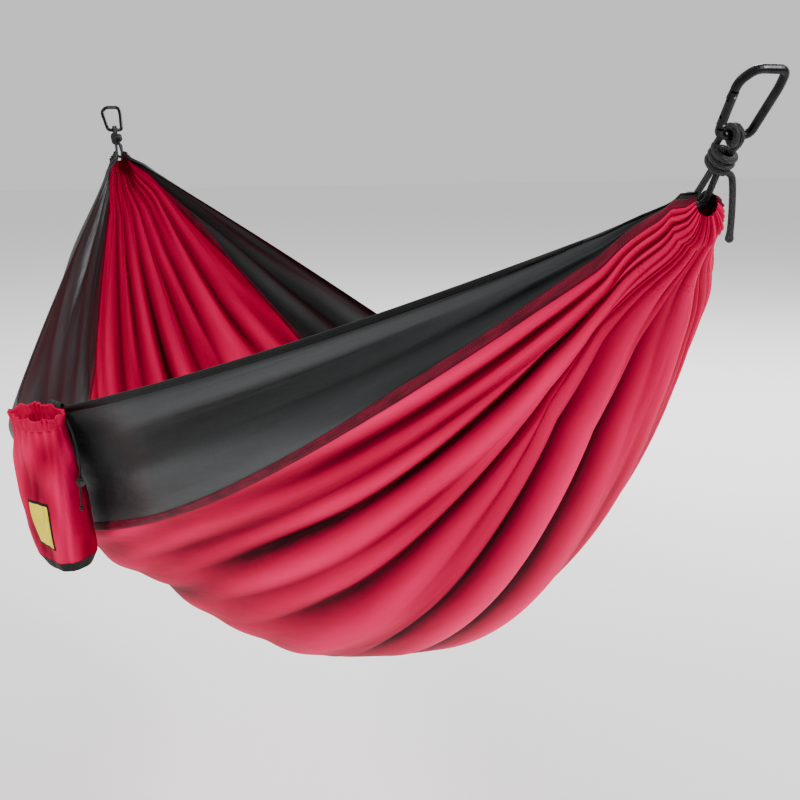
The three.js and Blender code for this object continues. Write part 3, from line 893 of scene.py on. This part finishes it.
def make_seam(seam):
    strip_on_bed(seam + "_fell", seam, SEAM_LIFT, SEAM_THICK, "maroon")
    band_stitching(seam, SEAM_ROWS, SEAM_STITCH_LIFT, "red_thread")


def make_hem_roll(hem, row):
    strip_on_bed(hem + "_roll", hem, 0, HEM_THICK, "charcoal")
    band_stitching(hem, (row,), HEM_STITCH_LIFT, "dark_thread")


def make_bed():
    centre_parts = ["centre_panel", "near_end_channel", "far_end_channel"]
    panels = {
        "centre_panel": ("red", CENTRE_CLOTH, centre_parts),
        "front_panel": ("charcoal", FRONT_CLOTH, ["front_panel"]),
        "back_panel": ("charcoal", BACK_CLOTH, ["back_panel"]),
    }
    for name, (look, width, replaced) in panels.items():
        obj = panel(name, COLUMNS[name], look, replaced)
    for side in ("front", "back"):
        make_seam(side + "_seam")
        make_hem_roll(side + "_hem", HEM_ROW if side == "front" else 1 - HEM_ROW)
    channel_stitching("near")
    channel_stitching("far")


# ---- ropes ----
STRAND = 0.0034
CHANNEL_LOOP = 0.0065
COIL_R = 0.0099
COIL_TOP = 0.080
COIL_PITCH = 0.0067
COIL_TURNS = 2.5
COIL_START = math.radians(118)
BAR = 0.064
BAR_TURN = (math.radians(-75), math.radians(-608))
STOCK = 0.008


def line_place(end):
    """Maps (along, across, out) of one hanging line into the row frame."""
    flip = 1 if end == "near" else -1
    start = 0 if end == "near" else -HANG_GAP
    cos = math.cos(SLOPE)
    sin = math.sin(SLOPE)

    def place(along, across, out=0.0):
        return np.array(
            (start + flip * (-along * cos - out * sin), across, -along * sin + out * cos)
        )

    return place


def rope_points(place):
    """One rope: out through the channel, back, twice round the bar, the whipping, the tail."""
    points = [place(0.077, -STRAND), place(0.090, -STRAND)]
    points += [place(0.104, -STRAND - 0.0004), place(0.118, -0.005)]
    bend = LINE - CHANNEL_LOOP
    for turn in np.linspace(0, math.pi, 7):
        points.append(place(bend + CHANNEL_LOOP * math.sin(turn), -CHANNEL_LOOP * math.cos(turn)))
    points += [place(0.118, 0.005), place(0.104, STRAND + 0.0004), place(0.092, STRAND)]
    points += [place(0.083, STRAND, -0.0006), place(0.076, STRAND, -0.004)]
    radius = (STOCK + ROPE) / 2 + 0.0005
    for share in np.linspace(0, 1, 17):
        turn = lerp(*BAR_TURN, share)
        across = lerp(STRAND, -STRAND, share)
        points.append(place(BAR + radius * math.cos(turn), across, radius * math.sin(turn)))
    for share in np.linspace(0, 1, 31):
        turn = COIL_START + share * COIL_TURNS * 2 * math.pi
        along = COIL_TOP + COIL_TURNS * COIL_PITCH * share
        points.append(place(along, COIL_R * math.cos(turn), COIL_R * math.sin(turn)))
    leave = place(COIL_TOP + COIL_TURNS * COIL_PITCH + 0.0025, 0.0095, -COIL_R - 0.001)
    for y, z in ((0, 0), (0.0015, -0.007), (0.002, -0.022), (0.0015, -0.040), (0, -0.056)):
        points.append(leave + np.array((0, y, z)))
    return points


BRAID_SIDES = 24
BRAID_STRANDS = 8
BRAID_TWIST = 4.2
BRAID_BULGE = 0.035
ROPE_STEP = 0.0010
KNOBBED = 1.25  # the rope's tail ends in a knob this much thicker


def braided_tube(name, points, diameter, step, look, body, end_swell=1.0):
    """A tube with a raised braid, rounded ends, and UV in metres along and turns around."""
    line = smooth_line(points, step)
    sides, ups = frames_along(line)
    run = run_along(line)
    radius = np.full(len(line), diameter / 2)
    cap = diameter * 0.45
    for distance in (run, run[-1] - run):
        rounded = np.sqrt(np.clip(1 - (1 - distance / cap) ** 2, 0.04, 1))
        radius *= np.where(distance < cap, rounded, 1)
    knob = diameter * 0.6
    radius *= 1 + (end_swell - 1) * np.exp(-(((run[-1] - run - knob) / knob) ** 2))
    verts = []
    uvs = []
    for k in range(len(line)):
        turn = np.arange(BRAID_SIDES) / BRAID_SIDES * 2 * np.pi
        twist = run[k] / diameter * BRAID_TWIST
        strands = BRAID_STRANDS * turn
        bulge = 1 + BRAID_BULGE * np.sin(strands + twist) * np.sin(strands - twist)
        outward = np.cos(turn)[:, None] * sides[k] + np.sin(turn)[:, None] * ups[k]
        verts.append(line[k] + (radius[k] * bulge)[:, None] * outward)
        uvs.append(np.stack([np.full(BRAID_SIDES, run[k]), turn / (2 * np.pi)], axis=1))
    faces = grid_faces(len(line), BRAID_SIDES, wrapped=True)
    faces.append(tuple(reversed(range(BRAID_SIDES))))
    last = (len(line) - 1) * BRAID_SIDES
    faces.append(tuple(range(last, last + BRAID_SIDES)))
    obj = mesh_object(name, np.concatenate(verts), faces, np.concatenate(uvs))
    finish_piece(obj, look, body)
    return obj, line


def make_ropes():
    for end in ("near", "far"):
        name = end + "_suspension_rope"
        points = rope_points(line_place(end))
        rope, _ = braided_tube(name + "_braid", points, ROPE, ROPE_STEP, "rope", "bed", KNOBBED)
        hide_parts(name)


# ---- carabiners and lock: kept CAD, better materials ----
SHARP_ANGLE = math.radians(35)


def redress(node, look):
    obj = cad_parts[node]
    obj.data.materials.clear()
    obj.data.materials.append(MATERIALS[look])
    obj.data.polygons.foreach_set("use_smooth", [True] * len(obj.data.polygons))
    obj.data.set_sharp_from_angle(angle=SHARP_ANGLE)


def redress_hardware():
    for end in ("near", "far"):
        redress(end + "_carabiner_frame", "aluminium")
        redress(end + "_gate", "aluminium")
        redress(end + "_gate_hinge_pin", "steel")
        redress(end + "_gate_latch_pin", "steel")
    redress("cord_lock_barrel", "plastic")
    redress("cord_lock_button", "plastic")


# ---- stuff pouch ----
POUCH_LEAN = math.radians(11)
POUCH_YAW = math.radians(16.5)
POUCH_BACK = 0.006  # gap from the rim to the back of the mouth
POUCH_RISE = 0.004  # the back of the mouth stands about this far over the rim
POUCH_LENGTH = 0.238
POUCH_HEM = 0.015
POUCH_PROFILE = np.array(
    [
        # below the mouth, half width along X, half thickness
        (0.000, 0.058, 0.027),
        (0.015, 0.055, 0.027),
        (0.060, 0.060, 0.032),
        (0.120, 0.064, 0.038),
        (0.175, 0.062, 0.038),
        (0.215, 0.054, 0.034),
        (0.232, 0.042, 0.026),
    ]
)
POUCH_BASE_FROM = 0.2150
# scale of the painted shade in the pouch's creases
CREASE_SHADE = 0.016
SQUARENESS = 0.8  # 1 is an oval bag, less is boxier
LABEL_FROM = 0.126
LABEL_TO = 0.190
LABEL_HALF = 0.33  # radians around the pouch, either side of its middle
LABEL_TURN = 0.24  # radians from the pouch's front to that middle
LABEL_EDGE = 0.0035
LABEL_THICK = 0.0012
LABEL_LIFT = 0.0022
POUCH_WIDEST = 0.062  # half width at the label
LINING_IN = 0.0014
BASE_OUT = 0.0004
HEM_OUT = 0.0012
HEM_IN = -0.0004
MOUTH_WAVE = 0.0020  # rise and fall of the ruffle's free edge
UNDER_HEM = 0.002  # the ruffle reaches this far past the elastic
FRILL = 0.0006
FRILL_MORE = 0.0016
STITCHES_UP = 0.002  # from the elastic's lower edge
STITCHES_OUT = 0.0022
TAPE_HALF = 0.018
TAPE_THICK = 0.0012
CORD = 0.003
LOCK_BELOW = 0.088
CORD_STEP = 0.0008
KNOT_CORD = 0.0026
KNOT_STEP = 0.0006
KNOT_TURNS = 2.4
KNOT_R = 0.0021
KNOT_TALL = 0.0055

# The bed's front rim above the pouch, before any fold.
RIM = base_row(POUCH_AHEAD, np.array([0.0]))[0][0]


def pouch_place(x, out, down):
    """Maps the pouch's own directions, from the middle of its mouth, into the frame."""
    middle = POUCH_BACK + POUCH_PROFILE[0][2]
    y = -(out + middle) * math.cos(POUCH_LEAN) + down * math.sin(POUCH_LEAN)
    z = -down * math.cos(POUCH_LEAN) - (out + middle) * math.sin(POUCH_LEAN)
    cos = math.cos(POUCH_YAW)
    sin = math.sin(POUCH_YAW)
    place = [RIM[0] + x * cos - y * sin, RIM[1] + x * sin + y * cos, RIM[2] + z + POUCH_RISE]
    return np.stack(place, axis=-1)


def pouch_size(down):
    width = np.interp(down, POUCH_PROFILE[:, 0], POUCH_PROFILE[:, 1])
    thick = np.interp(down, POUCH_PROFILE[:, 0], POUCH_PROFILE[:, 2])
    return width, thick


def bend(value):
    return np.sign(value) * np.abs(value) ** SQUARENESS


def pouch_creases(turn, down):
    """Puckers under the elastic, slanting drag folds down the front, and a slack crumple."""
    below = down - POUCH_HEM
    pucker = 0.0016 * np.sin(19 * turn + 1.5 * np.sin(3 * turn)) * math.exp(-max(below, 0) / 0.022)
    drag = 0.0036 * np.sin(3 * turn + 26 * down + 1.2 * np.sin(17 * down))
    drag = drag + 0.0014 * np.sin(6 * turn - 34 * down + 2 * np.sin(2 * turn + 21 * down))
    crumple = 0.0006 * np.sin(13 * turn + 61 * down + 2 * np.sin(5 * turn))
    slack = smoothstep(0.0, 0.05, below) * (1 - 0.6 * smoothstep(0.20, 0.235, down))
    return pucker + (drag + crumple) * slack


def pouch_surface(turn, down, grow=0.0, creased=True):
    width, thick = pouch_size(down)
    crease = pouch_creases(turn, down) if creased else 0
    x = (width + grow + crease * 0.7) * bend(np.sin(turn))
    out = (thick + grow + crease) * bend(np.cos(turn))
    return pouch_place(x, out, np.full_like(turn, down))


def ring_uv(turn, down):
    return np.stack([np.full_like(turn, down), turn / (2 * math.pi) * 0.32], axis=1)


AROUND = 144


def ring_piece(name, downs, grow, look, replaced, cap=None):
    turn = np.arange(AROUND) / AROUND * 2 * math.pi
    verts = [pouch_surface(turn, d, grow) for d in downs]
    uvs = [ring_uv(turn, d) for d in downs]
    faces = grid_faces(len(downs), AROUND, wrapped=True)
    if cap is not None:
        verts.append(cap[None])
        uvs.append(np.array([[downs[-1], 0]]))
        last = (len(downs) - 1) * AROUND
        faces += [(last + (k + 1) % AROUND, last + k, last + AROUND) for k in range(AROUND)]
    obj = mesh_object(name, np.concatenate(verts), faces, np.concatenate(uvs))
    if look == "red":
        # painted shade: crease hollows painted darker, crease ridges painted lighter, on the red
        # pouch pieces
        shade = np.concatenate([0.55 + pouch_creases(turn, d) / CREASE_SHADE for d in downs])
        shade = np.r_[shade, np.full(len(obj.data.vertices) - len(shade), 0.5)]
        paint(obj, np.clip(shade, 0, 1))
    finish_piece(obj, look, "pouch")
    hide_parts(*replaced)


def frill_depth(down):
    """The gathered frill over the elastic stands out a little more towards its free edge."""
    return FRILL + FRILL_MORE * (1 - down / POUCH_HEM) ** 2


def make_hem():
    turn = np.arange(AROUND * 2) / (AROUND * 2) * 2 * math.pi
    verts = []
    uvs = []
    lowest = POUCH_HEM + UNDER_HEM
    rings = [(d, HEM_OUT) for d in np.linspace(lowest, 0.0, 8)]
    rings += [(d, HEM_IN) for d in np.linspace(0.0, lowest, 6)]
    for down, offset in rings:
        frill = frill_depth(min(down, POUCH_HEM)) * np.sin(24 * turn + 2.2 * np.sin(5 * turn))
        width, thick = pouch_size(max(down, 0))
        grow = frill + offset
        x = (width + grow) * bend(np.sin(turn))
        out = (thick + grow) * bend(np.cos(turn))
        rise = MOUTH_WAVE * np.sin(9 * turn + 1.0) * (1 - min(down, POUCH_HEM) / POUCH_HEM)
        verts.append(pouch_place(x, out, down + rise))
        uvs.append(ring_uv(turn, down))
    faces = grid_faces(len(rings), AROUND * 2, wrapped=True)
    obj = mesh_object("pouch_elastic_ruffle", np.concatenate(verts), faces, np.concatenate(uvs))
    paint(obj, np.full(len(obj.data.vertices), 0.5))
    finish_piece(obj, "red", "pouch")
    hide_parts("pouch_elastic_hem")
    once_around = np.linspace(0, 2 * math.pi, 300)
    stitched = pouch_surface(once_around, POUCH_HEM - STITCHES_UP, STITCHES_OUT, False)
    centre = pouch_place(0, 0, POUCH_HEM)
    away = stitched - centre
    away /= np.linalg.norm(away, axis=1)[:, None]
    places = stitch_places(stitched, away, STITCH_LIFT)
    stitches("pouch_hem_stitches", places, "pouch_thread", "pouch")


def pouch_patch(name, margin, lift, look, replaced):
    """A thin patch that follows the pouch's front, its edges tucked down; margin widens it."""
    rows = 26
    cols = 22
    top = []
    uvs = []
    for r in range(rows):
        for c in range(cols):
            down = lerp(LABEL_FROM - margin, LABEL_TO + margin, r / (rows - 1))
            half = LABEL_HALF + margin / POUCH_WIDEST
            turn = np.array([LABEL_TURN + lerp(-half, half, c / (cols - 1))])
            edge = min(r, rows - 1 - r, c, cols - 1 - c)
            top.append(pouch_surface(turn, down, lift if edge else lift - LABEL_THICK)[0])
            uvs.append((down, float(turn[0]) * 0.05))
    obj = mesh_object(name, np.array(top), grid_faces(rows, cols), np.array(uvs))
    finish_piece(obj, look, "pouch")
    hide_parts(*replaced)


# Out from the pouch's middle and down from its mouth.
TAPE_PATH = (
    (-0.0288, 0.015),
    (-0.0290, 0.008),
    (-0.0292, 0.002),
    (-0.0305, -0.0035),
    (-0.0335, -0.0055),
    (-0.0365, -0.0030),
    (-0.0375, 0.005),
    (-0.0368, 0.015),
)


def hanging_tape():
    """A folded tape that carries the pouch: up from its back and over the bed's hem."""
    path = np.array(TAPE_PATH)
    verts = []
    uvs = []
    for k, (out, down) in enumerate(path):
        ahead = path[min(k + 1, len(path) - 1)] - path[max(k - 1, 0)]
        normal = np.array([-ahead[1], ahead[0]]) / np.linalg.norm(ahead) * TAPE_THICK / 2
        for edge, side in ((-1, 1), (1, 1), (1, -1), (-1, -1)):
            x = edge * TAPE_HALF
            verts.append(pouch_place(x, out + side * normal[0], down + side * normal[1]))
            uvs.append((0.01 * k, x))
    faces = grid_faces(len(path), 4, wrapped=True)
    faces.append((3, 2, 1, 0))
    last = 4 * (len(path) - 1)
    faces.append((last, last + 1, last + 2, last + 3))
    obj = mesh_object("pouch_hanging_loop", np.array(verts), faces, np.array(uvs), smooth=False)
    obj.data.materials.append(MATERIALS["tape"])
    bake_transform(obj)
    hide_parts("pouch_hanging_tape")


def make_pouch():
    shell = np.linspace(POUCH_HEM + 0.0005, POUCH_BASE_FROM + 0.0002, 70)
    ring_piece("pouch_shell_cloth", shell, 0, "red", ["pouch_shell"])
    inner = np.linspace(POUCH_HEM, POUCH_BASE_FROM, 30)
    ring_piece("pouch_lining", inner, -LINING_IN, "red", [])
    base = np.linspace(POUCH_BASE_FROM, POUCH_PROFILE[-1][0], 8)
    cap = pouch_place(0, 0, POUCH_LENGTH)
    ring_piece("pouch_base_cap", base, BASE_OUT, "black_cloth", ["pouch_base"], cap)
    make_hem()
    backing = ["pouch_label_backing"]
    pouch_patch("pouch_label_edge", LABEL_EDGE, LABEL_THICK, "black_cloth", backing)
    pouch_patch("pouch_label_face", 0, LABEL_LIFT, "label", ["pouch_label"])
    hanging_tape()


def make_drawcord():
    cord_exit = pouch_place(0.053, -0.020, 0.008)
    lock = cord_exit + np.array((0.020, 0.012, -LOCK_BELOW))
    points = [
        cord_exit,
        cord_exit + np.array((0.006, 0.001, -0.006)),
        cord_exit + np.array((0.014, 0.006, -0.022)),
        lock + np.array((0, 0, 0.030)),
        lock,
        lock + np.array((0, 0, -0.018)),
        lock + np.array((0.0015, 0.0005, -0.034)),
    ]
    cord, line = braided_tube("pouch_drawcord_braid", points, CORD, CORD_STEP, "cord", "pouch")
    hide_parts("pouch_drawcord")
    knot_at = line[-1]
    knot = []
    for share in np.linspace(0, 1, 25):
        turn = share * KNOT_TURNS * 2 * math.pi
        radius = KNOT_R * math.sin(math.pi * (0.12 + 0.76 * share)) + 0.0003
        drop = -0.0005 - KNOT_TALL * share
        knot.append(knot_at + np.array((radius * math.cos(turn), radius * math.sin(turn), drop)))
    bead, _ = braided_tube("drawcord_knot_wraps", knot, KNOT_CORD, KNOT_STEP, "cord", "pouch")
    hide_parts("drawcord_end_knot")
    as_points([tuple(p) for p in line[::4]] + [tuple(line[-1])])


make_ropes()
make_bed()
redress_hardware()
make_pouch()
make_drawcord()


# ---- stage ----
FLOOR_DROP = 0.55  # below the lowest point of the bed
FLOOR_SIZE = 60
WORLD_LIGHT = 0.80


def make_stage():
    low, _ = CAD_BOX
    under = (MID_X, 0, low[2] - FLOOR_DROP)
    bpy.ops.mesh.primitive_plane_add(size=FLOOR_SIZE, location=under)
    floor = bpy.context.object
    floor.name = "floor"
    n = Nodes("pale_floor")
    n.set(Base_Color=(0.93, 0.93, 0.93, 1), Roughness=1.0, Specular_IOR_Level=0.0)
    floor.data.materials.append(n.material)
    world = bpy.data.worlds.new("soft_studio")
    world.use_nodes = True
    background = world.node_tree.nodes["Background"]
    background.inputs["Color"].default_value = (1, 1, 1, 1)
    background.inputs["Strength"].default_value = WORLD_LIGHT
    bpy.context.scene.world = world


def area_light(name, location, target, size, watts):
    data = bpy.data.lights.new(name, "AREA")
    data.shape = "DISK"
    data.size = size
    data.energy = watts
    lamp = bpy.data.objects.new(name, data)
    lamp.location = location
    direction = Vector(target) - Vector(location)
    lamp.rotation_mode = "QUATERNION"
    lamp.rotation_quaternion = direction.to_track_quat("-Z", "Y")
    bpy.context.collection.objects.link(lamp)


make_stage()
BED_CENTRE = (MID_X, 0, -0.5)
area_light("key", (MID_X + 2.9, 1.3, 1.4), BED_CENTRE, 0.6, 115)
area_light("fill", (MID_X + 1.0, -3.0, 1.7), BED_CENTRE, 0.8, 100)
area_light("floor_wash", (MID_X - 3.0, 3.5, 3.4), (MID_X - 5.0, 2.5, -1.2), 3.0, 500)
